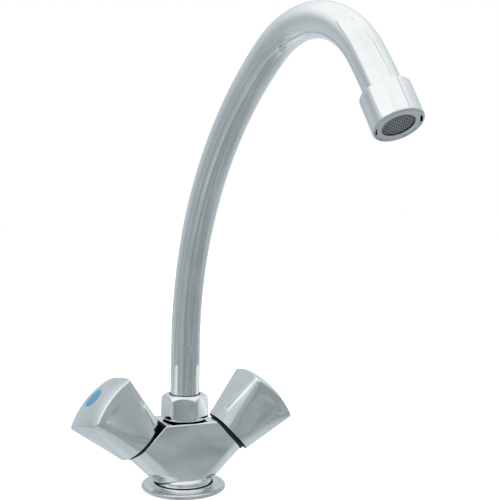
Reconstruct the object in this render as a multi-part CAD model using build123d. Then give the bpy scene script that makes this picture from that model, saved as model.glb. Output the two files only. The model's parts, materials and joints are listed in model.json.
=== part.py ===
"""Two handle kitchen faucet with a swivelling swan neck spout.

Units are millimetres and degrees. The origin is the centre of the underside of the base, +Z points up
and the flat front of the body faces -Y. The cold valve is on the left (-X), the hot valve on the right.
Each valve is built upright along +Z from the point where the two valve axes cross, then leant over.
"""
import math
import os
from build123d import *

# ---- base ----
flange_radius = 26.0        # chromed rosette
flange_edge = 2.4           # thickness of its round rim
flange_dish = 1.9           # thickness in the shallow dish
flange_land = 3.2           # height of the land that the foot stands on, above the deck
flange_rim_width = 3.8      # from the rosette's edge to the bottom of the dish
flange_lip = 1.0            # width of the raised ring round the foot
gasket_radius = 24.6        # rubber gasket let into the rosette's underside
gasket_thickness = 1.4
gasket_proud = 0.3          # how far the gasket stands below the metal
base_opening = 14.2         # radius of the open middle, round the inlets and the stud

# ---- body casting ----
foot_radius = 17.4
foot_height = 5.0
foot_shoulder = 2.6         # rounding on top of the foot
body_top = 42.8             # height of the flat top, above the deck
half_depth = 14.3           # from the middle to the flat front and the flat back
arm_radius = 15.2           # round underside of each valve arm
arm_rise = 2.7              # how far the arm's round sits above the valve axis
arm_lean = 46.3             # lean of each valve axis from the vertical
axes_cross = 4.8            # height at which the two valve axes cross
arm_end = 38.2              # end face of each arm, measured along its axis
face_corner = 4.0           # softening between the flat faces and the round underside
end_round = 0.9             # rounding of the arm's end
top_round = 0.8             # rounding of the flat top
neck_radius = 11.0          # threaded neck for the union nut
neck_height = 11.9
socket_radius = 9.05        # bore that the spout's foot turns in
socket_depth = 21.0         # below the neck's rim
mixing_radius = 7.0         # chamber below the socket
mixing_depth = 5.5

# ---- connections in the underside ----
inlet_radius = 4.5          # tapped M10 x 1
inlet_depth = 8.3
inlet_offset = 8.2          # sideways from the middle
inlet_back = 2.0            # behind the middle
stud_hole_radius = 3.4      # tapped M8
stud_hole_depth = 12.0
stud_front = 9.5            # in front of the middle

# ---- valve bore in each arm, measured along the valve axis ----
seat_height = 19.0
seat_bore_radius = 3.8
seat_bore_start = 10.5
valve_bore_radius = 10.0
valve_bore_height = 8.5
thread_radius = 10.35       # half-inch headwork thread
port_radius = 2.8           # drilling from the valve bore to the mixing chamber
port_height = 23.6

# ---- headwork ----
seal_thickness = 2.0
seal_hole = 4.2
seal_radius = 8.4
disc_radius = 7.5
disc_thickness = 2.4
disc_gap = 0.05             # water film between the two ceramic discs
window_inner = 2.0          # the discs' windows
window_outer = 6.2
window_turn = 78.0
sleeve_radius = 8.6         # bonnet sleeve round the discs
sleeve_port_height = 1.6
stem_radius = 4.5
drive_height = 2.6          # head of the spindle over the moving disc
drive_key = 1.0             # tongue of the spindle in the moving disc
drive_key_width = 2.6
drive_gap = 0.3             # over the head
stop_inner = 5.0            # the spindle's stop lug
stop_lug_turn = 60.0
stop_height = 1.2
stop_slack = 1.5            # degrees left at each end of the travel
stop_root = 0.5             # how deep the bonnet's stop runs into its wall
head_gap = 0.1              # round and over the spindle's head
drive_key_inset = 0.6       # tongue's ends, in from the disc's edge
valve_travel = 90.0
bonnet_seal_thickness = 0.8
bonnet_seal_groove = 0.3    # undercut that the seal sits in
bonnet_flange_radius = 11.4
bonnet_flange = 2.2
bonnet_hex = 17.0           # across flats
bonnet_hex_height = 6.0
bonnet_neck_radius = 6.6
bonnet_neck_height = 4.4
o_ring_thickness = 1.6      # spindle's sealing ring
groove_share = 0.6          # half width of a ring's groove, as a share of the ring's thickness
clip_thickness = 0.8
clip_radius = 6.2
clip_opening = 70.0
serration_teeth = 20
serration_tip = 4.0
serration_root = 3.6
serration_length = 9.0
serration_lift = 1.0        # plain end under the teeth, above the clip
spindle_end_gap = 0.5       # over the spindle's end, inside the handle
collar_radius = 13.6        # black bush between the arm and the handle
collar_height = 2.0
collar_inner = 11.6
collar_sleeve_radius = 12.6
collar_sleeve = 3.0         # part of the bush inside the handle's skirt

# ---- handle ----
handle_gap = 0.3            # running gap between the bush and the handle
skirt_share = 0.98          # corner radius of the skirt's section, as a share of half its width
skirt_radius = 15.9
skirt_round = 0.4
cap_side = 37.4             # square section at the height of the dome's top
cap_corner = 1.8
handle_height = 39.5        # from the skirt's rim to the dome's top
crown_sphere = 54.6         # radius of the domed cap
crown_round = 0.8           # rounding of the dome's arched edge
crown_seam = 20.0           # turns the ball's seam off the ridges and the middles of the flats
handle_wall = 2.2
cap_wall = 3.4
boss_radius = 6.6
boss_lift = 1.5             # boss's end, above the clip
index_radius = 6.3
index_depth = 2.0
screw_radius = 1.6          # core of the handle's screw
screw_hole_radius = 2.2
screw_head_radius = 3.6
screw_head = 2.4
screw_head_drop = 0.2       # below the coloured cap
screw_key = 3.0             # hexagon socket, across flats
screw_key_depth = 1.2
cold_turn_teeth = 1         # the cold handle sits one tooth round on its spindle

# ---- union nut and spout bearing ----
nut_flats = 26.0
nut_lift = 0.9              # between the body's top and the nut
nut_turn = -21.0            # where its front flat faces, from -Y
nut_lip = 1.4               # thickness over the glide washer
nut_mouth = 0.6             # between the lip and the tube
nut_shoulder = 4.5          # radius turned on the upper corners
nut_foot_round = 2.1        # turned on the lower corners
glide_thickness = 1.0
thread_gap = 0.05
running_gap = 0.08          # radial, round shafts
axial_gap = 0.15            # between faces that turn on each other
washer_gap = 0.2            # inside the glide washer and round the outlet's seal
passing_gap = 0.3           # between parts that pass without touching
face_gap = 0.02             # each side of a ring in its groove
ring_height = 1.5           # split ring that holds the spout in
ring_radius = 10.6
ring_groove = 0.8
ring_opening = 25.0
foot_bore = 5.5
foot_ring_thickness = 1.9   # sealing rings on the spout's foot
foot_ring_low = 4.5         # lower ring, above the end of the foot
foot_ring_pitch = 7.0
foot_spigot = 7.0           # part of the foot inside the tube

# ---- spout tube ----
tube_radius = 9.0
tube_wall = 1.0
tube_rise = 31.0            # straight part above the nut
rise_radius = 202.0
rise_turn = 55.9
crown_radius = 56.6
crown_turn = 86.5
fall_radius = 250.0
fall_turn = 5.4
tube_end_length = 4.0       # straight end inside the outlet housing
spout_swing = 9.0           # where the spout points, from -Y towards +X

# ---- outlet with flow straightener ----
outlet_radius = 12.0
outlet_length = 18.4
outlet_round = 1.0          # both outer edges
outlet_stop = 1.5           # inner shoulder that the tube's end meets
insert_radius = 10.7
insert_wall = 2.0
insert_length = 11.0
insert_recess = 0.5         # behind the outlet's edge
insert_lip = 0.6
mesh_radius = 7.7           # free opening
mesh_thickness = 0.5
mesh_edge = 0.8             # width of the screen's rim under the lip
mesh_pitch = 1.7
mesh_bar = 0.45
mesh_turn = 30.0
key_slot_turn = 26.0        # length of each key slot, in degrees round the insert
key_slot_place = 36.5       # middle of the first slot, from the spout's side
key_slot_width = 0.9
key_slot_depth = 1.6
outlet_seal = 1.4

# ---- derived places ----
foot_low = flange_land
neck_rim = body_top + neck_height
socket_floor = neck_rim - socket_depth
nut_low = body_top + nut_lift
ring_low = neck_rim + axial_gap
ring_top = ring_low + ring_height
glide_low = ring_top + axial_gap
glide_top = glide_low + glide_thickness
nut_top = glide_top + nut_lip
tube_low = glide_low
bend_start = nut_top + tube_rise
disc_low = seat_height + seal_thickness
moving_low = disc_low + disc_thickness + disc_gap
head_low = moving_low + disc_thickness
head_top = head_low + drive_height
cavity_top = head_top + drive_gap
flange_seat = arm_end + bonnet_seal_thickness
hex_low = flange_seat + bonnet_flange
neck_low = hex_low + bonnet_hex_height
bonnet_top = neck_low + bonnet_neck_height
clip_low = bonnet_top + axial_gap
clip_top = clip_low + clip_thickness
serration_low = clip_top + serration_lift
spindle_top = serration_low + serration_length
collar_top = arm_end + collar_height
skirt_low = collar_top + handle_gap
crown_top = skirt_low + handle_height
index_low = crown_top - index_depth
screw_head_low = index_low - screw_head
mesh_top = outlet_length - insert_recess - insert_lip - mesh_thickness


def ring(inner, outer, low, high, turn=360.0, start=0.0):
    """Ring or part of a ring with a square section, round the Z axis."""
    section = Pos((inner + outer) / 2, (low + high) / 2) * Rectangle(outer - inner, high - low)
    return Rot(0, 0, start) * revolve(Plane.XZ * section, Axis.Z, turn)


def rod(radius, low, high):
    return Pos(0, 0, low) * Cylinder(radius, high - low, align=(Align.CENTER, Align.CENTER, Align.MIN))


def o_ring(mean_radius, thickness, height):
    return Pos(0, 0, height) * Torus(mean_radius, thickness / 2)


def lean(side, piece):
    """Leans an upright valve piece over: side is -1 for cold and 1 for hot."""
    return Pos(0, 0, axes_cross) * Rot(0, side * arm_lean, 0) * piece


# ---- base ----
def base_flange():
    seat_radius = foot_radius + running_gap
    lip_radius = seat_radius + flange_lip
    lip_top = flange_land + flange_lip / 2
    rim_middle = gasket_proud + flange_edge / 2
    with BuildPart() as flange:
        with BuildSketch(Plane.XZ):
            with BuildLine():
                Line((base_opening, gasket_proud), (flange_radius - flange_edge / 2, gasket_proud))
                ThreePointArc((flange_radius - flange_edge / 2, gasket_proud),
                              (flange_radius, rim_middle),
                              (flange_radius - flange_edge / 2, gasket_proud + flange_edge))
                rim_inner = flange_radius - flange_rim_width
                dish = gasket_proud + flange_dish
                Spline((flange_radius - flange_edge / 2, gasket_proud + flange_edge),
                       (rim_inner, dish),
                       (lip_radius, lip_top),
                       tangents=((-1, 0), (-0.4, 1)))
                Polyline((lip_radius, lip_top), (seat_radius, lip_top), (seat_radius, flange_land),
                         (base_opening, flange_land), (base_opening, gasket_proud))
            make_face()
        revolve(axis=Axis.Z)
    return flange.part - rod(gasket_radius + thread_gap, gasket_proud, gasket_thickness)


def base_gasket():
    return ring(base_opening, gasket_radius, 0, gasket_thickness)


# ---- body casting ----
def arm_block(side):
    """One valve arm: flat in front and behind, round below, square towards the middle."""
    web = (body_top - axes_cross) * math.sin(math.radians(arm_lean))
    section = Circle(arm_radius) & Rectangle(2 * arm_radius, 2 * half_depth)
    section += Pos(-side * web / 2, 0) * Rectangle(web, 2 * half_depth)
    section = Pos(-side * arm_rise, 0) * section
    kinks = section.vertices().filter_by(lambda v: v.X * side > -arm_rise)
    section = fillet(kinks, face_corner)
    block = extrude(section, arm_end)
    block = fillet(block.faces().sort_by(Axis.Z)[-1].edges(), end_round)
    return lean(side, block)


def foot_block():
    foot = rod(foot_radius, foot_low, foot_low + foot_height)
    return fillet(foot.faces().sort_by(Axis.Z)[-1].edges(), foot_shoulder)


def valve_bore(side):
    bore = rod(seat_bore_radius, seat_bore_start, seat_height)
    bore += rod(valve_bore_radius, seat_height, seat_height + valve_bore_height)
    bore += rod(thread_radius, seat_height + valve_bore_height, arm_end + 1)
    port = Rot(0, -side * 90, 0) * rod(port_radius, sleeve_radius, 2 * sleeve_radius)
    return lean(side, bore + Pos(0, 0, port_height) * port)


def body():
    reach = 2 * arm_end
    casting = arm_block(-1) + arm_block(1)
    casting &= Pos(0, 0, foot_low) * Box(reach * 2, reach, body_top - foot_low,
                                         align=(Align.CENTER, Align.CENTER, Align.MIN))
    casting = fillet(casting.faces().sort_by(Axis.Z)[-1].edges(), top_round)
    casting += foot_block()
    casting += rod(neck_radius, body_top - 1, neck_rim)
    casting -= rod(socket_radius, socket_floor, neck_rim)
    casting -= rod(mixing_radius, socket_floor - mixing_depth, socket_floor)
    for side in (-1, 1):
        casting -= valve_bore(side)
        inlet = rod(inlet_radius, foot_low, foot_low + inlet_depth)
        casting -= Pos(side * inlet_offset, inlet_back, 0) * inlet
    casting -= Pos(0, -stud_front, 0) * rod(stud_hole_radius, foot_low, foot_low + stud_hole_depth)
    return casting


# ---- headwork ----
def seat_seal():
    return ring(seal_hole, seal_radius, seat_height, disc_low)


def disc_windows(low, start):
    window = ring(window_inner, window_outer, low, low + disc_thickness,
                  window_turn, start - window_turn / 2)
    return window + Rot(0, 0, 180) * window


def fixed_disc():
    return rod(disc_radius, disc_low, disc_low + disc_thickness) - disc_windows(disc_low, 0)


def drive_tongue(low, high, gap):
    """Tongue across the spindle's head that turns the moving disc."""
    bar = Box(2 * disc_radius, drive_key_width + 2 * gap, high - low,
              align=(Align.CENTER, Align.CENTER, Align.MIN))
    return Pos(0, 0, low) * bar & rod(disc_radius - drive_key_inset, low, high)


def moving_disc():
    disc = rod(disc_radius, moving_low, head_low) - disc_windows(moving_low, 90)
    return disc - drive_tongue(head_low - drive_key, head_low, thread_gap)


def spindle():
    lug_low = head_top - stop_height
    head = rod(disc_radius - head_gap, head_low, lug_low)
    head += ring(stop_inner - head_gap, disc_radius - head_gap, lug_low, head_top,
                 stop_lug_turn, -stop_lug_turn / 2)
    head += rod(stop_inner - head_gap, lug_low, head_top)
    stem = rod(stem_radius, head_top, clip_low)
    groove_height = neck_low - o_ring_thickness
    groove = o_ring_thickness * groove_share
    stem -= ring(stem_radius - o_ring_thickness, stem_radius + 1,
                 groove_height - groove, groove_height + groove)
    stem += rod(stem_radius - ring_groove, clip_low, clip_top)
    stem += rod(stem_radius, clip_top, serration_low)
    splines = Pos(0, 0, serration_low) * extrude(serrations(0.0), serration_length)
    tongue = drive_tongue(head_low - drive_key, head_low, 0)
    tapped = rod(screw_radius + thread_gap, clip_top, spindle_top)
    return head + stem + splines + tongue - tapped


def serrations(gap):
    """Toothed outline of the spindle's end, or of the handle's bore with a gap."""
    points = []
    for tooth in range(serration_teeth):
        for half, radius in ((0, serration_tip), (0.5, serration_root)):
            angle = 2 * math.pi * (tooth + half) / serration_teeth
            points.append(((radius + gap) * math.cos(angle), (radius + gap) * math.sin(angle)))
    return make_face(Polyline(*points, close=True))


def bonnet():
    shell = rod(sleeve_radius, disc_low, seat_height + valve_bore_height)
    shell += rod(thread_radius - thread_gap, seat_height + valve_bore_height, arm_end)
    shell += rod(seal_inner(), arm_end, flange_seat)
    shell += rod(bonnet_flange_radius, flange_seat, hex_low)
    hexagon = extrude(RegularPolygon(bonnet_hex / 2, 6, major_radius=False), bonnet_hex_height)
    shell += Pos(0, 0, hex_low) * hexagon
    shell += rod(bonnet_neck_radius, neck_low, bonnet_top)
    shell -= rod(disc_radius + running_gap, disc_low, cavity_top)
    shell -= rod(stem_radius + running_gap, cavity_top, bonnet_top)
    window = Box(3 * sleeve_radius, sleeve_radius, sleeve_port_height)
    shell -= Pos(0, 0, moving_low + disc_thickness / 2) * window
    # stop that the spindle's lug meets at each end of its travel
    stop_start = valve_travel + stop_lug_turn / 2 + stop_slack
    stop_turn = 360 - valve_travel - stop_lug_turn - 2 * stop_slack
    shell += ring(stop_inner + running_gap, disc_radius + stop_root, head_top - stop_height + head_gap,
                  cavity_top + head_gap, stop_turn, stop_start)
    return shell


def seal_inner():
    return thread_radius - thread_gap - bonnet_seal_groove


def bonnet_seal():
    return ring(seal_inner() + thread_gap, bonnet_flange_radius, arm_end, flange_seat)


def spindle_o_ring():
    height = neck_low - o_ring_thickness
    return o_ring(stem_radius + running_gap / 2 - o_ring_thickness / 2, o_ring_thickness, height)


def spindle_clip():
    inner = stem_radius - ring_groove + thread_gap
    return ring(inner, clip_radius, clip_low + face_gap, clip_top - face_gap,
                360 - clip_opening, clip_opening / 2)


def collar():
    """Black bush that covers the bonnet's flange and stands a little way into the skirt."""
    bush = ring(collar_inner, collar_radius, arm_end, collar_top)
    return bush + ring(collar_inner, collar_sleeve_radius, collar_top, collar_top + collar_sleeve)


# ---- handle ----
def handle_blank(inset):
    """Round at the skirt, square with round ridges at the cap."""
    skirt = skirt_radius - inset
    side = cap_side - 2 * inset
    small = Pos(0, 0, skirt_low) * RectangleRounded(2 * skirt, 2 * skirt, skirt_share * skirt)
    large = Pos(0, 0, crown_top) * RectangleRounded(side, side, cap_corner)
    return loft([small, large])


def crown(offset):
    """Ball whose top is the domed cap."""
    return Pos(0, 0, crown_top - crown_sphere) * Rot(0, 0, crown_seam) * Sphere(crown_sphere - offset)


def handle(side):
    blank = handle_blank(0) & crown(0)
    blank = fillet(blank.faces().sort_by(Axis.Z)[-1].edges(), crown_round)
    blank = fillet(blank.faces().sort_by(Axis.Z)[0].edges(), skirt_round)
    hollow = handle_blank(handle_wall) & crown(cap_wall)
    hollow -= rod(boss_radius, clip_top + boss_lift, crown_top)
    shape = blank - hollow
    shape -= Pos(0, 0, clip_top) * extrude(serrations(thread_gap), spindle_top - clip_top + spindle_end_gap)
    shape -= rod(screw_hole_radius, spindle_top, screw_head_low)
    shape -= rod(screw_head_radius + passing_gap, screw_head_low, index_low)
    shape -= rod(index_radius + thread_gap, index_low, crown_top + 1)
    return Rot(0, 0, handle_turn(side)) * shape


def handle_turn(side):
    return cold_turn_teeth * 360 / serration_teeth if side < 0 else 0.0


def index_cap():
    return rod(index_radius, index_low, crown_top) & crown(0)


def handle_screw():
    screw_top = index_low - screw_head_drop
    head = rod(screw_head_radius, screw_head_low, screw_top)
    key = extrude(RegularPolygon(screw_key / 2, 6, major_radius=False), screw_key_depth)
    head -= Pos(0, 0, screw_top - screw_key_depth) * key
    return head + rod(screw_radius, serration_low + serration_lift, screw_head_low)


# ---- union nut and spout bearing ----
def spout_nut():
    corner = nut_flats / math.sqrt(3)
    hexagon = extrude(RegularPolygon(nut_flats / 2, 6, major_radius=False), nut_top - nut_low)
    # round outline turned over the corners of the hexagon
    shoulder_low = nut_top - nut_shoulder
    lip_radius = corner - nut_shoulder
    with BuildPart() as turned:
        with BuildSketch(Plane.XZ):
            with BuildLine():
                foot_turn = (corner - nut_foot_round, nut_low + nut_foot_round)
                Polyline((0, nut_top), (0, nut_low), (corner - nut_foot_round, nut_low))
                CenterArc(foot_turn, nut_foot_round, -90, 90)
                Line((corner, nut_low + nut_foot_round), (corner, shoulder_low))
                CenterArc((lip_radius, shoulder_low), nut_shoulder, 0, 90)
                Line((lip_radius, nut_top), (0, nut_top))
            make_face()
        revolve(axis=Axis.Z)
    nut = Pos(0, 0, nut_low) * hexagon & turned.part
    nut -= rod(neck_radius + thread_gap, nut_low, glide_top)
    nut -= rod(tube_radius + nut_mouth, glide_top, nut_top)
    return Rot(0, 0, nut_turn) * nut


def glide_washer():
    return ring(tube_radius + washer_gap, neck_radius, glide_low, glide_top)


def split_ring():
    inner = tube_radius - ring_groove
    return ring(inner + thread_gap, ring_radius, ring_low, ring_top, 360 - ring_opening, ring_opening / 2)


def spout_foot():
    plug = socket_radius - running_gap
    foot = rod(plug, socket_floor + axial_gap, ring_low - face_gap)
    foot += rod(tube_radius - ring_groove, ring_low - face_gap, ring_top + face_gap)
    foot += rod(tube_radius, ring_top + face_gap, tube_low)
    foot += rod(tube_radius - tube_wall, tube_low, tube_low + foot_spigot)
    foot -= rod(foot_bore, socket_floor, tube_low + foot_spigot)
    groove = foot_ring_thickness * groove_share
    for height in foot_ring_heights():
        foot -= ring(plug - foot_ring_thickness, plug + 1, height - groove, height + groove)
    return foot


def foot_ring_heights():
    low = socket_floor + foot_ring_low
    return (low, low + foot_ring_pitch)


def spout_o_rings():
    mean = socket_radius - running_gap / 2 - foot_ring_thickness / 2
    return [o_ring(mean, foot_ring_thickness, height) for height in foot_ring_heights()]


# ---- spout ----
def spout_path():
    """Middle line of the tube, drawn in XZ and heading for +X, as far as the outlet's upper edge."""
    with BuildLine(Plane.XZ) as path:
        rise = Line((0, tube_low), (0, bend_start))
        sweep_up = JernArc(rise @ 1, rise % 1, rise_radius, -rise_turn)
        over = JernArc(sweep_up @ 1, sweep_up % 1, crown_radius, -crown_turn)
        fall = JernArc(over @ 1, over % 1, fall_radius, -fall_turn)
        PolarLine(fall @ 1, tube_end_length, direction=fall % 1)
    return path.wire()


def swing(piece):
    return Rot(0, 0, spout_swing - 90) * piece


def spout_tube():
    path = spout_path()
    start = Plane(path @ 0, z_dir=path % 0)
    outer = sweep(start * Circle(tube_radius), path)
    inner = sweep(start * Circle(tube_radius - tube_wall), path)
    return swing(outer - inner)


def at_outlet(piece):
    """Puts a piece, built along +Z from the outlet's upper edge, on the end of the tube."""
    path = spout_path()
    along = path % 1
    origin = path @ 1 - along * tube_end_length
    return swing(Plane(origin, x_dir=(0, 1, 0), z_dir=along) * piece)


def outlet_housing():
    sleeve = rod(outlet_radius, 0, outlet_length)
    sleeve = fillet(sleeve.edges().filter_by(GeomType.CIRCLE), outlet_round)
    sleeve -= rod(tube_radius + thread_gap, 0, tube_end_length)
    sleeve -= rod(tube_radius - tube_wall, tube_end_length, tube_end_length + outlet_stop)
    sleeve -= rod(insert_radius + thread_gap, tube_end_length + outlet_stop, outlet_length)
    return at_outlet(sleeve)


def outlet_seal_ring():
    low = tube_end_length + outlet_stop
    return at_outlet(ring(tube_radius - tube_wall, insert_radius - washer_gap, low, low + outlet_seal))


def outlet_insert():
    end = outlet_length - insert_recess
    insert = ring(insert_radius - insert_wall, insert_radius, end - insert_length, end)
    insert += ring(mesh_radius, insert_radius, end - insert_lip, end)
    for turn in (0, 180):
        start = key_slot_place - key_slot_turn / 2 + turn
        insert -= ring(insert_radius - key_slot_width, insert_radius + thread_gap,
                       end - key_slot_depth, end, key_slot_turn, start)
    return at_outlet(insert)


def outlet_mesh():
    """Square mesh screen with a plain rim."""
    outer = mesh_radius + mesh_edge
    screen = Circle(outer)
    count = int(2 * mesh_radius / mesh_pitch)
    hole = mesh_pitch - mesh_bar
    half_diagonal = hole / math.sqrt(2)
    places = [place for place in GridLocations(mesh_pitch, mesh_pitch, count, count)
              if place.position.length + half_diagonal < mesh_radius]
    screen -= [place * Rectangle(hole, hole) for place in places]
    return at_outlet(Pos(0, 0, mesh_top) * Rot(0, 0, mesh_turn) * extrude(screen, mesh_thickness))


def write(name, shape):
    export_step(shape, f"parts/{name}.step")


def main():
    os.makedirs("parts", exist_ok=True)
    write("base_flange", base_flange())
    write("base_gasket", base_gasket())
    write("body", body())
    write("spout_nut", spout_nut())
    write("glide_washer", glide_washer())
    write("split_ring", split_ring())
    write("spout_foot", spout_foot())
    write("spout_o_rings", Compound(children=spout_o_rings()))
    write("spout_tube", spout_tube())
    write("aerator_housing", outlet_housing())
    write("aerator_seal", outlet_seal_ring())
    write("aerator_insert", outlet_insert())
    write("aerator_mesh", outlet_mesh())
    for side, name in ((-1, "cold"), (1, "hot")):
        write(name + "_seat_seal", lean(side, seat_seal()))
        write(name + "_fixed_disc", lean(side, fixed_disc()))
        write(name + "_moving_disc", lean(side, moving_disc()))
        write(name + "_spindle", lean(side, spindle()))
        write(name + "_bonnet", lean(side, bonnet()))
        write(name + "_bonnet_seal", lean(side, bonnet_seal()))
        write(name + "_spindle_o_ring", lean(side, spindle_o_ring()))
        write(name + "_spindle_clip", lean(side, spindle_clip()))
        write(name + "_collar", lean(side, collar()))
        write(name + "_handle", lean(side, handle(side)))
        write(name + "_index", lean(side, index_cap()))
        write(name + "_handle_screw", lean(side, handle_screw()))


main()
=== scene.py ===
import json
import math
import bmesh
import bpy
from mathutils import Matrix, Vector


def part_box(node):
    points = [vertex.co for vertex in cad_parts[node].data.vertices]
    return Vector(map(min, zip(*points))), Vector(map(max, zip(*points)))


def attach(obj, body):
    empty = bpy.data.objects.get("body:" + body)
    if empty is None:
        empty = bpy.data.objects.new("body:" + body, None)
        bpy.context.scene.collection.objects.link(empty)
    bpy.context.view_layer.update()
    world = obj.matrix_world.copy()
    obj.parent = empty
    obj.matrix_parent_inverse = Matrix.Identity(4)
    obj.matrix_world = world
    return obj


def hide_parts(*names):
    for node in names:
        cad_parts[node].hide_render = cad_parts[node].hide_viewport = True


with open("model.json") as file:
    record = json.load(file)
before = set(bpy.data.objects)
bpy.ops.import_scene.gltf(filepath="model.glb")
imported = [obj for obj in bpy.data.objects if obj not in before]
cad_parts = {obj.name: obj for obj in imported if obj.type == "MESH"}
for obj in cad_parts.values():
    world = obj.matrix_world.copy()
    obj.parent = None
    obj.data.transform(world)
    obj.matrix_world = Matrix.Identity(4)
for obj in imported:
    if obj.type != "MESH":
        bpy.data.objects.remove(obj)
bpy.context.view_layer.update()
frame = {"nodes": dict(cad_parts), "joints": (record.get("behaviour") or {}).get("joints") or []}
print("frame loaded")

mm = 0.001
toMetres = Matrix.Scale(mm, 4)
upward = Vector((0, 0, 1))
joints = {joint["name"]: joint for joint in frame["joints"]}
mergeWithin = 0.002         # millimetres, between points that become one
levelWithin = 0.001         # millimetres, for edges that lie at one height
onAxisWithin = 0.0001       # millimetres, for edges whose middle lies on an axis


# small helpers
def turned(degrees, axis="Z"):
    return Matrix.Rotation(math.radians(degrees), 4, axis)


def meshFrom(bm, name):
    mesh = bpy.data.meshes.new(name)
    bm.to_mesh(mesh)
    bm.free()
    return mesh


def wire(bm, points):
    # closed outline through points given as a radius and a height
    verts = [bm.verts.new((radius, 0, height)) for radius, height in points]
    for first, second in zip(verts, verts[1:] + verts[:1]):
        bm.edges.new((first, second))


def roundOff(bm, geom, radius, steps, kind="VERTICES"):
    bmesh.ops.bevel(bm, geom=geom, offset=radius, offset_type="OFFSET", segments=steps,
                    profile=0.5, affect=kind, material=-1, clamp_overlap=True)


def roundCorner(bm, corner, radius, steps):
    # corner is a radius and a height on a wire outline
    place = Vector((corner[0], 0, corner[1]))
    roundOff(bm, [min(bm.verts, key=lambda vert: (vert.co - place).length)], radius, steps)


def spinRound(bm, steps):
    bmesh.ops.spin(bm, geom=bm.verts[:] + bm.edges[:], cent=(0, 0, 0), axis=upward,
                   angle=math.tau, steps=steps, use_merge=True, use_duplicate=False)


def edgesAt(bm, height):
    return [edge for edge in bm.edges if all(abs(vert.co.z - height) < levelWithin for vert in edge.verts)]


def extrudeLoop(bm, edges):
    # the far loop of the new faces
    grown = bmesh.ops.extrude_edge_only(bm, edges=edges)["geom"]
    return [item for item in grown if isinstance(item, bmesh.types.BMEdge) and item.is_boundary]


def vertsOf(edges):
    return list({vert for edge in edges for vert in edge.verts})


def makePiece(name, bm, place, body, slot, replaced, sharpAngle):
    # bm and place are in millimetres
    bmesh.ops.remove_doubles(bm, verts=bm.verts, dist=mergeWithin)
    bmesh.ops.recalc_face_normals(bm, faces=bm.faces)
    bmesh.ops.transform(bm, matrix=toMetres @ place, verts=bm.verts)
    mesh = meshFrom(bm, name)
    mesh.materials.append(materials[slot])
    mesh.shade_smooth()
    mesh.set_sharp_from_angle(angle=math.radians(sharpAngle))
    piece = bpy.data.objects.new(name, mesh)
    bpy.context.scene.collection.objects.link(piece)
    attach(piece, body)
    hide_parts(*replaced)
    return piece


# the tube's bends, each a radius in millimetres and a turn in degrees
spoutPath = {
    "start": 89.9,          # height where the first bend starts
    "bends": ((202.0, 55.9), (56.6, 86.5), (250.0, 5.4)),
    "swing": 9.0,           # where the spout points, from -Y towards +X
}


def outletPlace():
    # where the last bend ends, with Z out of the outlet
    place = turned(spoutPath["swing"] - 90) @ Matrix.Translation((0, 0, spoutPath["start"]))
    for radius, turn in spoutPath["bends"]:
        centre = Matrix.Translation((radius, 0, 0))
        place = place @ centre @ turned(turn, "Y") @ centre.inverted()
    return place


# helpers for materials
def feed(tree, socket, value):
    # a socket takes another node's output, or a fixed value
    if isinstance(value, bpy.types.NodeSocket):
        tree.links.new(value, socket)
    elif value is not None:
        socket.default_value = value


def objectPlace(tree):
    return tree.nodes.new("ShaderNodeTexCoord").outputs["Object"]


def axesOf(tree, vector):
    split = tree.nodes.new("ShaderNodeSeparateXYZ")
    tree.links.new(vector, split.inputs["Vector"])
    return split.outputs["X"], split.outputs["Y"], split.outputs["Z"]


def mathOn(tree, operation, first, second=None):
    node = tree.nodes.new("ShaderNodeMath")
    node.operation = operation
    for socket, value in zip(node.inputs, (first, second)):
        feed(tree, socket, value)
    return node.outputs["Value"]


def vectorOn(tree, operation, first, second=None, result="Value"):
    node = tree.nodes.new("ShaderNodeVectorMath")
    node.operation = operation
    for socket, value in zip(node.inputs, (first, second)):
        feed(tree, socket, value)
    return node.outputs[result]


def mixOn(tree, share, first, second, kind="FLOAT"):
    mix = tree.nodes.new("ShaderNodeMix")
    mix.data_type = kind
    for name, value in (("Factor", share), ("A", first), ("B", second)):
        feed(tree, mix.inputs[name], value)
    return mix.outputs["Result"]


def tintBetween(tree, share, first, second):
    return mixOn(tree, share, (*first, 1), (*second, 1), "RGBA")


def remapOn(tree, value, start, end, low, high, kind):
    remap = tree.nodes.new("ShaderNodeMapRange")
    remap.interpolation_type = kind
    for name, limit in (("From Min", start), ("From Max", end), ("To Min", low), ("To Max", high)):
        remap.inputs[name].default_value = limit
    tree.links.new(value, remap.inputs["Value"])
    return remap.outputs["Result"]


def spread(tree, value, low, high, start=0.3, end=0.7):
    # a noise lies mostly between 0.3 and 0.7
    return remapOn(tree, value, start, end, low, high, "LINEAR")


def softStep(tree, value, start, end, low=0.0, high=1.0):
    return remapOn(tree, value, start, end, low, high, "SMOOTHSTEP")


def noiseOn(tree, perMetre, detail, rough=0.5, stretch=(1, 1, 1), place=None):
    mapping = tree.nodes.new("ShaderNodeMapping")
    mapping.inputs["Scale"].default_value = stretch
    tree.links.new(place or objectPlace(tree), mapping.inputs["Vector"])
    noise = tree.nodes.new("ShaderNodeTexNoise")
    for name, value in (("Scale", perMetre), ("Detail", detail), ("Roughness", rough)):
        noise.inputs[name].default_value = value
    tree.links.new(mapping.outputs["Vector"], noise.inputs["Vector"])
    return noise.outputs["Fac"]


def bumpFrom(tree, height, depth, before=None):
    bump = tree.nodes.new("ShaderNodeBump")
    bump.inputs["Strength"].default_value = 1
    bump.inputs["Distance"].default_value = depth
    tree.links.new(height, bump.inputs["Height"])
    feed(tree, bump.inputs["Normal"], before)
    return bump.outputs["Normal"]


def startMaterial(name, tint, metallic, roughness):
    material = bpy.data.materials.new(name)
    material.use_nodes = True
    shader = material.node_tree.nodes["Principled BSDF"]
    shader.inputs["Base Color"].default_value = (*tint, 1)
    shader.inputs["Metallic"].default_value = metallic
    shader.inputs["Roughness"].default_value = roughness
    return material, material.node_tree, shader


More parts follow.
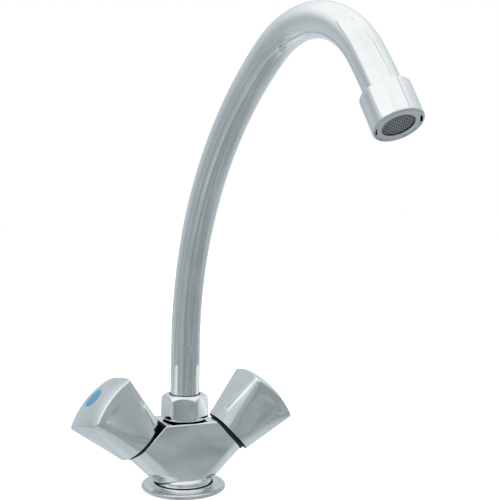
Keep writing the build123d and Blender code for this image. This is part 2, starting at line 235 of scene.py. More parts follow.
# finishes: a noise is its scale per metre, its detail and its roughness, or 0.5; depths are in metres
chromeLook = {
    "bright": (0.885, 0.90, 0.90),
    "dull": (0.80, 0.82, 0.82),
    "smoothest": 0.035,
    "roughest": 0.10,
    "patches": (45, 4, 0.6),
    "waves": (75, 1),       # the swell left by polishing
    "fineWaves": (420, 2),
}


def chromePlate(name, swell, fine, dulling=0.0, shade=1.0):
    # swell and fine are the depths of the polishing waves; shade below 1 makes a darker copy of the plate,
    # a painted shade
    bright, dull = ([part * shade for part in chromeLook[key]] for key in ("bright", "dull"))
    smoothest, roughest = chromeLook["smoothest"], chromeLook["roughest"]
    material, tree, shader = startMaterial(name, bright, 1, smoothest)
    patches = noiseOn(tree, *chromeLook["patches"])
    tint = tintBetween(tree, spread(tree, patches, 0, 1), bright, dull)
    tree.links.new(tint, shader.inputs["Base Color"])
    gloss = spread(tree, patches, smoothest + dulling, roughest + dulling)
    tree.links.new(gloss, shader.inputs["Roughness"])
    swells = bumpFrom(tree, noiseOn(tree, *chromeLook["waves"]), swell)
    waves = bumpFrom(tree, noiseOn(tree, *chromeLook["fineWaves"]), fine, swells)
    tree.links.new(waves, shader.inputs["Normal"])
    return material


rubberLook = {
    "roughness": 0.7,
    "roughnessRange": (0.6, 0.85),
    "grain": (900, 6, 0.65),
    "grainDepth": 0.00004,
    "lighter": 1.6,         # share of the tint where the grain is high
    "specular": 0.35,
}


def rubber(name, tint):
    material, tree, shader = startMaterial(name, tint, 0, rubberLook["roughness"])
    grain = noiseOn(tree, *rubberLook["grain"])
    tree.links.new(spread(tree, grain, *rubberLook["roughnessRange"]), shader.inputs["Roughness"])
    lighter = [part * rubberLook["lighter"] for part in tint]
    tree.links.new(tintBetween(tree, grain, tint, lighter), shader.inputs["Base Color"])
    tree.links.new(bumpFrom(tree, grain, rubberLook["grainDepth"]), shader.inputs["Normal"])
    shader.inputs["Specular IOR Level"].default_value = rubberLook["specular"]
    return material


plasticLook = {
    "roughnessShares": (0.85, 1.2),
    "grain": (1400, 3, 0.6),
    "grainDepth": 0.000012,
    "mottle": (160, 4, 0.6),
    "darker": 0.88,
    "coatRoughness": 0.06,
}


def plastic(name, tint, roughness, coat=0.0):
    material, tree, shader = startMaterial(name, tint, 0, roughness)
    grain = noiseOn(tree, *plasticLook["grain"])
    low, high = (roughness * share for share in plasticLook["roughnessShares"])
    tree.links.new(spread(tree, grain, low, high), shader.inputs["Roughness"])
    mottle = noiseOn(tree, *plasticLook["mottle"])
    darker = [part * plasticLook["darker"] for part in tint]
    tree.links.new(tintBetween(tree, mottle, tint, darker), shader.inputs["Base Color"])
    tree.links.new(bumpFrom(tree, grain, plasticLook["grainDepth"]), shader.inputs["Normal"])
    shader.inputs["Coat Weight"].default_value = coat
    shader.inputs["Coat Roughness"].default_value = plasticLook["coatRoughness"]
    return material


metalLook = {
    "roughnessShares": (0.75, 1.35),
    "marks": (2600, 2, 0.5),
    "markStretch": (1, 1, 0.15),
    "markDepth": 0.000006,
    "stain": (120, 5, 0.6),
    "darker": 0.8,
}


def turnedMetal(name, tint, roughness):
    # fine tool marks
    material, tree, shader = startMaterial(name, tint, 1, roughness)
    marks = noiseOn(tree, *metalLook["marks"], stretch=metalLook["markStretch"])
    low, high = (roughness * share for share in metalLook["roughnessShares"])
    tree.links.new(spread(tree, marks, low, high), shader.inputs["Roughness"])
    stain = noiseOn(tree, *metalLook["stain"])
    darker = [part * metalLook["darker"] for part in tint]
    tree.links.new(tintBetween(tree, stain, tint, darker), shader.inputs["Base Color"])
    tree.links.new(bumpFrom(tree, marks, metalLook["markDepth"]), shader.inputs["Normal"])
    return material


materials = {
    "body_chrome": chromePlate("bodyChrome", 0.00022, 0.0000012),
    # a darker copy of the chrome, painted shade on the flange
    "flange_chrome": chromePlate("flangeChrome", 0.00020, 0.000001, 0.02, 0.80),
    "nut_chrome": chromePlate("nutChrome", 0.00004, 0.000001),
    "spout_chrome": chromePlate("spoutChrome", 0.00003, 0.0000008),
    "outlet_chrome": chromePlate("outletChrome", 0.00003, 0.0000008),
    "insert_chrome": chromePlate("insertChrome", 0.00002, 0.000001, 0.1),
    "handle_chrome": chromePlate("handleChrome", 0.00006, 0.0000012),
    "mesh_steel": turnedMetal("meshSteel", (0.66, 0.67, 0.67), 0.3),
    "clip_steel": turnedMetal("clipSteel", (0.55, 0.55, 0.56), 0.3),
    "screw_steel": turnedMetal("screwSteel", (0.6, 0.6, 0.6), 0.28),
    "turned_brass": turnedMetal("turnedBrass", (0.78, 0.60, 0.30), 0.26),
    "seal_rubber": rubber("sealRubber", (0.018, 0.018, 0.019)),
    "white_plastic": plastic("whitePlastic", (0.78, 0.78, 0.76), 0.38),
    "collar_plastic": plastic("collarPlastic", (0.004, 0.004, 0.0045), 0.5),
    "ceramic": plastic("ceramic", (0.82, 0.80, 0.76), 0.2),
    "cold_index": plastic("coldIndex", (0.045, 0.29, 0.52), 0.3, coat=0.3),
    "hot_index": plastic("hotIndex", (0.55, 0.03, 0.026), 0.3, coat=0.3),
}


# long shallow hollows left by polishing along the knob
streaks = {
    "noise": (85, 0.6),
    "stretch": (1, 1, 0.07),
    "level": 0.5,           # of the noise, where the surface stays as it is
    "depth": 0.0018,
    "fade": (72, 76),       # millimetres along the valve axis from the frame's origin; the cap stays smooth
}


def alongValve(tree):
    # Object coordinates turned so that Z runs along the valve axis, the same on both sides
    x, y, z = axesOf(tree, objectPlace(tree))
    joined = tree.nodes.new("ShaderNodeCombineXYZ")
    for name, value in (("X", mathOn(tree, "ABSOLUTE", x)), ("Y", y), ("Z", z)):
        tree.links.new(value, joined.inputs[name])
    axis = Vector(joints["hot_turn"]["axis"])
    mapping = tree.nodes.new("ShaderNodeMapping")
    mapping.inputs["Rotation"].default_value = (0, -math.atan2(axis.x, axis.z), 0)
    tree.links.new(joined.outputs["Vector"], mapping.inputs["Vector"])
    return mapping.outputs["Vector"]


def addStreaks(material):
    tree = material.node_tree
    normal = tree.nodes["Principled BSDF"].inputs["Normal"]
    straight = alongValve(tree)
    noise = noiseOn(tree, *streaks["noise"], stretch=streaks["stretch"], place=straight)
    start, end = (height * mm for height in streaks["fade"])
    kept = softStep(tree, axesOf(tree, straight)[2], start, end, 1, 0)
    height = mathOn(tree, "MULTIPLY", mathOn(tree, "SUBTRACT", noise, streaks["level"]), kept)
    tree.links.new(bumpFrom(tree, height, streaks["depth"], normal.links[0].from_socket), normal)


addStreaks(materials["handle_chrome"])


# painted shade: places that light doesn't reach, painted near black with a rough finish
paintedShade = {
    "tint": (0.004, 0.004, 0.005, 1),
    "roughness": 0.6,
    "edge": 0.06,           # half width of the soft edge, in millimetres
}
outlet = outletPlace()
shadeAxes = {
    "upright": ((0, 0, 0), tuple(upward)),
    "coldValve": (joints["cold_turn"]["pos_m"], joints["cold_turn"]["axis"]),
    "hotValve": (joints["hot_turn"]["pos_m"], joints["hot_turn"]["axis"]),
    "outlet": (tuple(outlet.translation * mm), tuple(outlet.to_3x3() @ upward)),
}
anywhere = (None, None)
# an axis, a range along it and a range out from it, in millimetres; None leaves a side open
# each entry below is painted shade on that finish
paintedShadePlaces = {
    "body_chrome": (
        # painted shade on the arms' end faces, under the knobs
        ("coldValve", (38.0, None), anywhere),
        ("hotValve", (38.0, None), anywhere),
        ("upright", (42.74, None), (None, 12.75)),      # painted shade under the union nut, over the neck's unplated thread too
        ("upright", (None, 4.25), anywhere),            # painted contact shadow along the foot's lower edge
    ),
    "handle_chrome": (
        # painted shade on the knobs' lower rim
        ("coldValve", (36, 40.62), (None, 16.5)),
        ("hotValve", (36, 40.62), (None, 16.5)),
    ),
    # painted contact shadow on the flange round the foot
    "flange_chrome": (("upright", anywhere, (17.2, 18.35)),),
    "nut_chrome": (
        # painted shade under the nut and inside its mouth
        ("upright", (None, 43.8), anywhere),
        ("upright", anywhere, (None, 9.8)),
    ),
    # painted shade on the tube inside the nut
    "spout_chrome": (("upright", (None, 59.15), anywhere),),
    # painted shade in the outlet's recesses, on the insert and the bore
    "insert_chrome": (("outlet", (None, 17.7), anywhere),),
    "outlet_chrome": (("outlet", (3, 17.85), (None, 10.85)),),
}


def roundAxis(tree, origin, axis):
    # distance along an axis and out from it, in millimetres
    away = vectorOn(tree, "SUBTRACT", objectPlace(tree), origin, "Vector")
    along = vectorOn(tree, "DOT_PRODUCT", away, axis)
    length = vectorOn(tree, "LENGTH", away)
    square = mathOn(tree, "SUBTRACT", mathOn(tree, "POWER", length, 2),
                    mathOn(tree, "MULTIPLY", along, along))
    out = mathOn(tree, "SQRT", mathOn(tree, "MAXIMUM", square, 0))
    return mathOn(tree, "DIVIDE", along, mm), mathOn(tree, "DIVIDE", out, mm)


def maskOf(tree, axisName, along, out):
    # 1 inside both ranges, 0 outside
    mask = None
    for distance, (low, high) in zip(roundAxis(tree, *shadeAxes[axisName]), (along, out)):
        for limit, soft in ((low, paintedShade["edge"]), (high, -paintedShade["edge"])):
            if limit is None:
                continue
            step = softStep(tree, distance, limit - soft, limit + soft)
            mask = step if mask is None else mathOn(tree, "MULTIPLY", mask, step)
    return mask


def paintShade(material, places):
    # painted shade: the tint goes near black and the roughness up inside the masks
    tree = material.node_tree
    shader = tree.nodes["Principled BSDF"]
    shaded = None
    for place in places:
        mask = maskOf(tree, *place)
        shaded = mask if shaded is None else mathOn(tree, "MAXIMUM", shaded, mask)
    changes = (("Base Color", paintedShade["tint"], "RGBA"), ("Roughness", paintedShade["roughness"], "FLOAT"))
    for name, value, kind in changes:
        socket = shader.inputs[name]
        tree.links.new(mixOn(tree, shaded, socket.links[0].from_socket, value, kind), socket)


# paint the shade into each finish
for slotName, places in paintedShadePlaces.items():
    paintShade(materials[slotName], places)
for node in frame["nodes"].values():
    slotName = node.data.materials[0].name
    for slot in node.material_slots:
        slot.material = materials[slotName]
print("materials made")


# knobs, upright in millimetres along the valve axis, from the point where the two valve axes cross
knob = {
    "skirt": 15.9,          # half width of the lower rim
    "skirtCorner": 0.98,    # share of the half width
    "skirtLow": 40.5,
    "cap": 18.7,            # half width at the height of the dome's top
    "capCorner": 1.9,
    "top": 80.0,
    "ball": 54.6,           # radius of the domed cap
    "rim": 0.75,            # softening of the dome's edge
    "lowerRim": 0.45,
    "wall": 2.2,
    "roof": 57.0,           # of the hollow inside
    "pocket": 6.4,          # radius, for the coloured cap
    "pocketFloor": 78.0,
    "teeth": 20,            # of the spindle; the cold knob sits one tooth round
    "cornerSteps": 14,
    "sideCuts": 15,
    "domeRows": 10,
    "rimSteps": 5,
    "lowerRimSteps": 3,
    "sharpAngle": 32,
    "shadingWeight": 80,
}


def squareRing(bm, half, corner, height):
    # rounded square as a ring of edges, the same count for every size
    place = Matrix.Translation((0, 0, height)) @ turned(45)
    radius = half * math.sqrt(2)
    ring = bmesh.ops.create_circle(bm, cap_ends=False, segments=4, radius=radius, matrix=place)
    roundOff(bm, ring["verts"], corner, knob["cornerSteps"])
    flats = []
    for edge in edgesAt(bm, height):
        middle = (edge.verts[0].co + edge.verts[1].co) / 2
        if min(abs(middle.x), abs(middle.y)) < onAxisWithin:
            flats.append(edge)
    bmesh.ops.subdivide_edges(bm, edges=flats, cuts=knob["sideCuts"])
    return edgesAt(bm, height)


def onBall(place):
    # height of the domed cap above a place
    return knob["top"] - knob["ball"] + math.sqrt(knob["ball"] ** 2 - place.x ** 2 - place.y ** 2)


def meetBall(low, high):
    # where the straight line from low to high meets the ball
    start = low - Vector((0, 0, knob["top"] - knob["ball"]))
    along = high - low
    a, b, c = along.dot(along), start.dot(along), start.dot(start) - knob["ball"] ** 2
    return low + along * ((-b + math.sqrt(b * b - a * c)) / a)


def addFlanks(bm, lower, upper):
    # sides from the round skirt to the square, cut off where they meet the ball
    flanks = bmesh.ops.bridge_loops(bm, edges=lower + upper)["faces"]
    rising = {edge for face in flanks for edge in face.edges if edge not in lower and edge not in upper}
    moved = {}
    for edge in rising:
        low, high = sorted(edge.verts, key=lambda vert: vert.co.z)
        moved[high] = meetBall(low.co, high.co)
    for vert, place in moved.items():
        vert.co = place


def addDome(bm, upper):
    # domed cap, from its edge to the pocket of the coloured cap, and the pocket
    floor = Matrix.Translation((0, 0, knob["pocketFloor"]))
    ring = bmesh.ops.create_circle(bm, cap_ends=False, segments=len(upper), radius=knob["pocket"],
                                   matrix=floor)["verts"]
    pocketEdges = list({edge for vert in ring for edge in vert.link_edges})
    dome = bmesh.ops.bridge_loops(bm, edges=upper + pocketEdges)["faces"]
    sides = {edge for face in dome for edge in face.edges}
    spokes = [edge for edge in sides if (edge.verts[0] in ring) != (edge.verts[1] in ring)]
    for spoke in spokes:
        inner = spoke.verts[0] if spoke.verts[0] in ring else spoke.verts[1]
        outer = spoke.other_vert(inner)
        flat = Vector((outer.co.x, outer.co.y, 0)).normalized() * knob["pocket"]
        inner.co = (flat.x, flat.y, onBall(flat))
    rows = bmesh.ops.subdivide_edges(bm, edges=spokes, cuts=knob["domeRows"], use_grid_fill=True)
    for item in rows["geom_inner"]:
        if isinstance(item, bmesh.types.BMVert):
            item.co.z = onBall(item.co)
    floorEdges = extrudeLoop(bm, pocketEdges)
    for vert in vertsOf(floorEdges):
        vert.co.z = knob["pocketFloor"]
    bmesh.ops.edgeloop_fill(bm, edges=floorEdges)


def addHollow(bm, lower):
    # lower rim, inner wall and roof
    lip = extrudeLoop(bm, lower)
    shrink = (knob["skirt"] - knob["wall"]) / knob["skirt"]
    bmesh.ops.scale(bm, vec=(shrink, shrink, 1), verts=vertsOf(lip))
    roof = extrudeLoop(bm, lip)
    bmesh.ops.translate(bm, vec=(0, 0, knob["roof"] - knob["skirtLow"]), verts=vertsOf(roof))
    bmesh.ops.edgeloop_fill(bm, edges=roof)


def makeKnob(water, teethRound):
    body = water + "_valve"
    joint = joints[water + "_turn"]
    bm = bmesh.new()
    lower = squareRing(bm, knob["skirt"], knob["skirtCorner"] * knob["skirt"], knob["skirtLow"])
    upper = squareRing(bm, knob["cap"], knob["capCorner"], knob["top"])
    addFlanks(bm, lower, upper)
    addDome(bm, upper)
    addHollow(bm, lower)
    for edges, radius, steps in ((upper, "rim", "rimSteps"), (lower, "lowerRim", "lowerRimSteps")):
        roundOff(bm, [edge for edge in edges if edge.is_valid], knob[radius], knob[steps], "EDGES")
    leant = upward.rotation_difference(Vector(joint["axis"])).to_matrix().to_4x4()
    start = Matrix.Translation(Vector(joint["pos_m"]) / mm)
    place = start @ leant @ turned(teethRound * 360 / knob["teeth"])
    piece = makePiece(water + "Knob", bm, place, body, "handle_chrome", (water + "_handle",),
                      knob["sharpAngle"])
    weighted = piece.modifiers.new("Weighted Normal", "WEIGHTED_NORMAL")
    weighted.keep_sharp = True
    weighted.weight = knob["shadingWeight"]


makeKnob("cold", 1)
makeKnob("hot", 0)
print("knobs made")


# union nut, in millimetres: a turned blank pressed in by six soft flats
nutLook = {
    "flats": 26.0,
    "turn": -21.0,          # where its front flat faces, from -Y towards +X
    "softness": 46,         # higher for sharper corners
    "shoulder": 4.5,
    "foot": 2.1,
    "thread": 11.05,
    "mouth": 9.6,
    "mouthRound": 0.35,
    "lip": 1.4,
    "footSteps": 9,
    "shoulderSteps": 16,
    "mouthSteps": 3,
    "steps": 144,
    "rows": 8,
    "sharpAngle": 40,
}


def pressFlats(bm):
    half, power = nutLook["flats"] / 2, nutLook["softness"]
    for vert in bm.verts:
        radius = vert.co.xy.length
        angle = math.atan2(vert.co.y, vert.co.x)
        pressed = radius ** -power
        for flat in range(6):
            facing = math.cos(angle - math.radians(nutLook["turn"] - 90 + 60 * flat))
            if facing > 0.5:            # within 60 degrees of that flat
                pressed += (facing / half) ** power
        share = pressed ** (-1 / power) / radius
        vert.co.x *= share
        vert.co.y *= share


def makeNut():
    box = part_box("spout_nut")
    low, top = box[0][2] / mm, box[1][2] / mm
    corner, thread, mouth = nutLook["flats"] / math.sqrt(3), nutLook["thread"], nutLook["mouth"]
    inside = top - nutLook["lip"]
    bm = bmesh.new()
    wire(bm, [(thread, low), (corner, low), (corner, top), (mouth, top), (mouth, inside), (thread, inside)])
    roundCorner(bm, (corner, low), nutLook["foot"], nutLook["footSteps"])
    roundCorner(bm, (corner, top), nutLook["shoulder"], nutLook["shoulderSteps"])
    roundCorner(bm, (mouth, top), nutLook["mouthRound"], nutLook["mouthSteps"])
    tallest = max(bm.edges, key=lambda edge: edge.calc_length())
    bmesh.ops.subdivide_edges(bm, edges=[tallest], cuts=nutLook["rows"])
    spinRound(bm, nutLook["steps"])
    pressFlats(bm)
    makePiece("unionNut", bm, Matrix.Identity(4), "faucet_body", "nut_chrome", ("spout_nut",),
              nutLook["sharpAngle"])


makeNut()
print("nut made")


# woven screen in the outlet, in millimetres
screen = {
    "height": 17.05,        # along the outlet, from the end of the tube's last bend
    "radius": 8.4,
    "rim": 7.9,             # inner radius of the ring that holds the wires
    "rimHeight": 0.22,      # half its height
    "rimSteps": 72,
    "pitch": 1.1,
    "wire": 0.17,           # radius
    "wave": 0.16,           # of the crimp, each way
    "waveSteps": 3,         # to a pitch
    "sides": 6,
    "turn": 30,
    "sharpAngle": 60,
}


def addWire(bm, offset, phase, quarter):
    # one crimped wire along X, or along Y for a quarter turn
    half = math.sqrt(screen["radius"] ** 2 - offset ** 2)
    steps = max(2, round(2 * half / screen["pitch"] * screen["waveSteps"]))
    grid = bmesh.ops.create_grid(bm, x_segments=steps, y_segments=screen["sides"], size=1)["verts"]
    for vert in grid:
        along, around = vert.co.x * half, math.pi * vert.co.y
        lift = screen["wave"] * math.cos(math.pi * (along / screen["pitch"] + phase))
        across = offset + screen["wire"] * math.cos(around)
        place = Vector((along, across, lift + screen["wire"] * math.sin(around)))
        vert.co = turned(90) @ place if quarter else place


def addScreenRim(bm):
    inner, outer, high = screen["rim"], screen["radius"], screen["rimHeight"]
    rim = bmesh.new()
    wire(rim, [(inner, -high), (outer, -high), (outer, high), (inner, high)])
    spinRound(rim, screen["rimSteps"])
    ring = meshFrom(rim, "screenRim")
    bm.from_mesh(ring)
    bpy.data.meshes.remove(ring)


def makeScreen():
    bm = bmesh.new()
    count = int(screen["radius"] / screen["pitch"])
    for row in range(-count, count + 1):
        addWire(bm, row * screen["pitch"], row, False)
        addWire(bm, row * screen["pitch"], row + 1, True)
    addScreenRim(bm)
    place = outletPlace() @ Matrix.Translation((0, 0, screen["height"])) @ turned(screen["turn"])
    makePiece("wovenScreen", bm, place, "spout", "mesh_steel", ("aerator_mesh",), screen["sharpAngle"])


makeScreen()
print("screen made")


# camera
cameraFit = {
    "place": (-0.17872, -0.50143, 0.17085),
    "yaw": 23.81,           # from +Y towards +X
    "down": 2.37,
    "roll": 1.04,
    "lens": 61.9,
    "sensor": 36,
    "clip": (0.01, 50),
}


def makeCamera():
    yaw, down, roll = (math.radians(cameraFit[key]) for key in ("yaw", "down", "roll"))
    ahead = Vector((math.sin(yaw) * math.cos(down), math.cos(yaw) * math.cos(down), -math.sin(down)))
    level = Vector((math.cos(yaw), -math.sin(yaw), 0))
    tall = level.cross(ahead)
    right = math.cos(roll) * level + math.sin(roll) * tall
    top = math.cos(roll) * tall - math.sin(roll) * level
    lens = bpy.data.cameras.new("camera")
    lens.lens = cameraFit["lens"]
    lens.sensor_width = cameraFit["sensor"]
    lens.clip_start, lens.clip_end = cameraFit["clip"]
    camera = bpy.data.objects.new("camera", lens)
    camera.matrix_world = Matrix((right, top, -ahead)).transposed().to_4x4()
    camera.location = cameraFit["place"]
    bpy.context.scene.collection.objects.link(camera)
    bpy.context.scene.camera = camera


# floor and world
stageLook = {
    "floorSize": 12,
    "floorTint": (0.80, 0.80, 0.80),
    "floorRoughness": 0.8,
    "floorSpecular": 0.1,
    "glowTint": (1, 1, 1, 1),
    "floorGlow": (0.42, 1.1),       # near the faucet and far from it
    "glowReach": (0.3, 1.4),        # metres over which it changes
    "worldTint": (1, 1, 1, 1),
    "worldLight": (0.45, 1),        # on the object, and as seen
}


def seenRays(tree):
    # 1 for what the camera, the metal and clear things see, 0 for the light that falls on the object
    rays = tree.nodes.new("ShaderNodeLightPath").outputs
    seen = mathOn(tree, "MAXIMUM", rays["Is Camera Ray"], rays["Is Glossy Ray"])
    return mathOn(tree, "MAXIMUM", seen, rays["Is Transmission Ray"])


def makeFloor():
    bm = bmesh.new()
    bmesh.ops.create_grid(bm, x_segments=1, y_segments=1, size=stageLook["floorSize"] / 2)
    mesh = meshFrom(bm, "floor")
    tint, roughness = stageLook["floorTint"], stageLook["floorRoughness"]
    material, tree, shader = startMaterial("paleFloor", tint, 0, roughness)
    shader.inputs["Specular IOR Level"].default_value = stageLook["floorSpecular"]
    shader.inputs["Emission Color"].default_value = stageLook["glowTint"]
    reach = vectorOn(tree, "LENGTH", objectPlace(tree))
    level = spread(tree, reach, *stageLook["floorGlow"], *stageLook["glowReach"])
    tree.links.new(mathOn(tree, "MULTIPLY", seenRays(tree), level), shader.inputs["Emission Strength"])
    mesh.materials.append(material)
    floor = bpy.data.objects.new("floor", mesh)
    bpy.context.scene.collection.objects.link(floor)


def makeWorld():
    world = bpy.data.worlds.new("studio")
    world.use_nodes = True
    tree = world.node_tree
    background = tree.nodes["Background"]
    background.inputs["Color"].default_value = stageLook["worldTint"]
    strength = spread(tree, seenRays(tree), *stageLook["worldLight"], 0, 1)
    tree.links.new(strength, background.inputs["Strength"])
    bpy.context.scene.world = world


# a dome and its floor that only the metal sees; distances are in metres, unless a share of the radius
shellLook = {
    "radius": 1.5,
    "segments": (64, 32),
    "lift": 0.0002,
    "lowTint": (0.895, 1.0, 1.045),
    "topTint": (0.975, 1.0, 0.995),
    "topTone": 1.06,
    "rise": (0.05, 0.92),           # sine of the elevation over which the walls brighten
    "backShift": 0.36,              # how much later they brighten at the back
    "backReach": (0.2, 0.9),        # shares of the radius, towards the back
    "rightShift": 0.16,
    "rightReach": (0.2, 0.6),       # shares of the radius, towards the right
    "floorShare": 0.84,             # of the wall's tone, on the floor in front
    "frontReach": (-0.2, 0),
    "frontHeight": (0, 0.04),       # shares of the radius
    "underTone": 0.70,              # beside the base, and straight overhead
    "underReach": (0.04, 0.13),
    "underNarrow": 2.5,             # higher keeps it closer to the left and the right
    "mottle": (0.86, 1.30),         # soft patches on the walls and on the floor
    "wallPatches": (4.5, 1),        # a noise, as in the finishes
    "wallStretch": (1, 1, 0.5),
    "floorPatches": (17, 1),
    "floorReach": (0.2, 0.5),
    "floorHeight": (0.0005, 0.004), # shares of the radius
    "quietReach": (0.1, 0.8),       # even walls towards the back, which the domed cap reflects
}
# tone of the walls by azimuth: 0 is straight in front of the faucet, 90 to its right
wallTones = {
    -180: 0.60,
    -140: 0.60,
    -118: 0.42,
    -75: 0.35,
    -62: 0.52,
    -40: 0.50,
    -31: 0.27,
    -22: 0.40,
    -10: 0.46,
    5: 0.37,
    70: 0.38,
    112: 0.50,
    150: 0.80,
    180: 0.60,
}


def onlyForMetal(panel):
    panel.visible_camera = False
    panel.visible_diffuse = False
    panel.visible_transmission = False
    panel.visible_shadow = False
    bpy.context.scene.collection.objects.link(panel)


def glowMaterial(name):
    material = bpy.data.materials.new(name)
    material.use_nodes = True
    tree = material.node_tree
    tree.nodes.remove(tree.nodes["Principled BSDF"])
    glow = tree.nodes.new("ShaderNodeEmission")
    glow.inputs["Color"].default_value = (*shellLook["topTint"], 1)
    tree.links.new(glow.outputs["Emission"], tree.nodes["Material Output"].inputs["Surface"])
    return material, tree, glow


def toneRound(tree, x, y):
    # tone of the walls by azimuth
    azimuth = mathOn(tree, "ARCTAN2", x, mathOn(tree, "MULTIPLY", y, -1))
    ramp = tree.nodes.new("ShaderNodeValToRGB")
    ramp.color_ramp.interpolation = "B_SPLINE"
    stops = ramp.color_ramp.elements
    while len(stops) < len(wallTones):
        stops.new(0.5)
    for stop, (degrees, tone) in zip(stops, wallTones.items()):
        stop.position = (degrees + 180) / 360
        stop.color = (tone, tone, tone, 1)
    tree.links.new(spread(tree, azimuth, 0, 1, -math.pi, math.pi), ramp.inputs["Fac"])
    return ramp.outputs["Color"]


def riseOver(tree, x, y, height):
    # 0 low on the walls, 1 overhead, later at the back and on the right
    behind = mathOn(tree, "DIVIDE", y, shellLook["radius"])
    beside = mathOn(tree, "DIVIDE", x, shellLook["radius"])
    later = mathOn(tree, "MAXIMUM",
                   softStep(tree, behind, *shellLook["backReach"], 0, shellLook["backShift"]),
                   softStep(tree, beside, *shellLook["rightReach"], 0, shellLook["rightShift"]))
    return softStep(tree, mathOn(tree, "SUBTRACT", height, later), *shellLook["rise"])


def patchesOn(tree, y, height, away):
    # finer on the floor near the base, none at the back
    onFloor = mathOn(tree, "MULTIPLY", softStep(tree, height, *shellLook["floorHeight"], 1, 0),
                     softStep(tree, away, *shellLook["floorReach"], 1, 0))
    onWalls = noiseOn(tree, *shellLook["wallPatches"], stretch=shellLook["wallStretch"])
    patches = mixOn(tree, onFloor, onWalls, noiseOn(tree, *shellLook["floorPatches"]))
    quiet = softStep(tree, y, *shellLook["quietReach"])
    return mixOn(tree, quiet, spread(tree, patches, *shellLook["mottle"]), 1.0)


def besideBase(tree, x, squares, away):
    # 1 close to the upright axis, to its left and right: beside the base, and also straight overhead
    aboveZero = mathOn(tree, "MAXIMUM", squares, 0.0001)
    sideways = mathOn(tree, "DIVIDE", mathOn(tree, "MULTIPLY", x, x), aboveZero)
    sideways = mathOn(tree, "POWER", sideways, shellLook["underNarrow"])
    return mathOn(tree, "MULTIPLY", softStep(tree, away, *shellLook["underReach"], 1, 0), sideways)


def paintShell(tree, glow):
    x, y, z = axesOf(tree, objectPlace(tree))
    height = mathOn(tree, "DIVIDE", z, shellLook["radius"])
    squares = mathOn(tree, "ADD", mathOn(tree, "MULTIPLY", x, x), mathOn(tree, "MULTIPLY", y, y))
    away = mathOn(tree, "SQRT", squares)
    ahead = mathOn(tree, "MULTIPLY", softStep(tree, y, *shellLook["frontReach"], 1, 0),
                   softStep(tree, height, *shellLook["frontHeight"], 1, 0))
    shade = mathOn(tree, "MULTIPLY", mixOn(tree, ahead, 1.0, shellLook["floorShare"]),
                   patchesOn(tree, y, height, away))
    rising = riseOver(tree, x, y, height)
    wallTone = mathOn(tree, "MULTIPLY", toneRound(tree, x, y), shade)
    walls = mixOn(tree, rising, wallTone, shellLook["topTone"])
    tint = tintBetween(tree, rising, shellLook["lowTint"], shellLook["topTint"])
    tree.links.new(tint, glow.inputs["Color"])
    tone = mixOn(tree, besideBase(tree, x, squares, away), walls, shellLook["underTone"])
    tree.links.new(tone, glow.inputs["Strength"])


def makeShell():
    around, upwards = shellLook["segments"]
    bm = bmesh.new()
    bmesh.ops.create_uvsphere(bm, u_segments=around, v_segments=upwards, radius=shellLook["radius"])
    everything = bm.verts[:] + bm.edges[:] + bm.faces[:]
    bmesh.ops.bisect_plane(bm, geom=everything, plane_co=(0, 0, 0), plane_no=upward, clear_inner=True)
    bmesh.ops.holes_fill(bm, edges=bm.edges, sides=0)
    mesh = meshFrom(bm, "shell")
    material, tree, glow = glowMaterial("shell")
    paintShell(tree, glow)
    mesh.materials.append(material)
    shell = bpy.data.objects.new("shell", mesh)
    shell.location = (0, 0, shellLook["lift"])
    onlyForMetal(shell)


# brighter and darker panels in the dome, soft over a share of their width
cardLook = {
    "distance": 1.3,
    "centre": (0, 0, 0.1),
}
cards = {
    "leftWindow": {"azimuth": -76, "elevation": 42, "size": (1.5, 0.80), "tone": 1.10, "soft": 0.10},
    "windowEdge": {"azimuth": -113, "elevation": 30, "size": (0.05, 0.9), "tone": 0.42, "soft": 0.3},
    "rightWindow": {"azimuth": 98, "elevation": 26, "size": (0.40, 0.30), "tone": 1.10, "soft": 0.3},
    "lowWindow": {"azimuth": 50, "elevation": 13, "size": (0.66, 0.36), "tone": 0.85, "soft": 0.45},
    "rightEdge": {"azimuth": 43, "elevation": 60, "size": (0.045, 0.9), "tone": 0.12, "soft": 0.3},
}


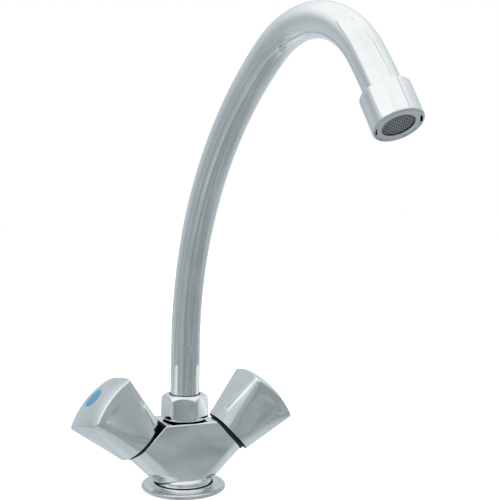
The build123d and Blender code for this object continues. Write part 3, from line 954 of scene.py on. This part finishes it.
def makeCard(name, card):
    half = 0.5              # of a card one metre square, before its size is applied
    bm = bmesh.new()
    bmesh.ops.create_grid(bm, x_segments=1, y_segments=1, size=half)
    mesh = meshFrom(bm, name)
    material, tree, glow = glowMaterial(name)
    glow.inputs["Strength"].default_value = card["tone"]
    cover = 1.0
    for across in axesOf(tree, objectPlace(tree))[:2]:
        off = mathOn(tree, "ABSOLUTE", across)
        cover = mathOn(tree, "MULTIPLY", cover, softStep(tree, off, half - card["soft"], half, 1, 0))
    clear = tree.nodes.new("ShaderNodeBsdfTransparent")
    blend = tree.nodes.new("ShaderNodeMixShader")
    for socket, value in zip(blend.inputs, (cover, clear.outputs["BSDF"], glow.outputs["Emission"])):
        tree.links.new(value, socket)
    tree.links.new(blend.outputs["Shader"], tree.nodes["Material Output"].inputs["Surface"])
    mesh.materials.append(material)
    panel = bpy.data.objects.new(name, mesh)
    turn, lift = math.radians(card["azimuth"]), math.radians(card["elevation"])
    out = Vector((math.sin(turn) * math.cos(lift), -math.cos(turn) * math.cos(lift), math.sin(lift)))
    facing = out.to_track_quat("Z", "Y").to_matrix().to_4x4()
    place = Matrix.Translation(Vector(cardLook["centre"]) + out * cardLook["distance"])
    panel.matrix_world = place @ facing @ Matrix.Diagonal((*card["size"], 1, 1))
    onlyForMetal(panel)


# lamps face the faucet's base
lamps = {
    "key": {"place": (-0.9, -0.9, 1.3), "size": 0.9, "power": 16},
    "fill": {"place": (1.1, -0.5, 0.9), "size": 0.9, "power": 9},
    "back": {"place": (0.1, 1.2, 1.2), "size": 0.9, "power": 9},
}


def makeLamp(name, lamp):
    light = bpy.data.lights.new(name, "AREA")
    light.shape = "SQUARE"
    light.size = lamp["size"]
    light.energy = lamp["power"]
    source = bpy.data.objects.new(name, light)
    place = Vector(lamp["place"])
    source.matrix_world = Matrix.Translation(place) @ place.to_track_quat("Z", "Y").to_matrix().to_4x4()
    source.visible_glossy = False
    bpy.context.scene.collection.objects.link(source)


makeCamera()
makeFloor()
makeWorld()
makeShell()
for cardName, card in cards.items():
    makeCard(cardName, card)
for lampName, lamp in lamps.items():
    makeLamp(lampName, lamp)
bpy.context.scene.view_settings.view_transform = "Standard"
print("stage ready")
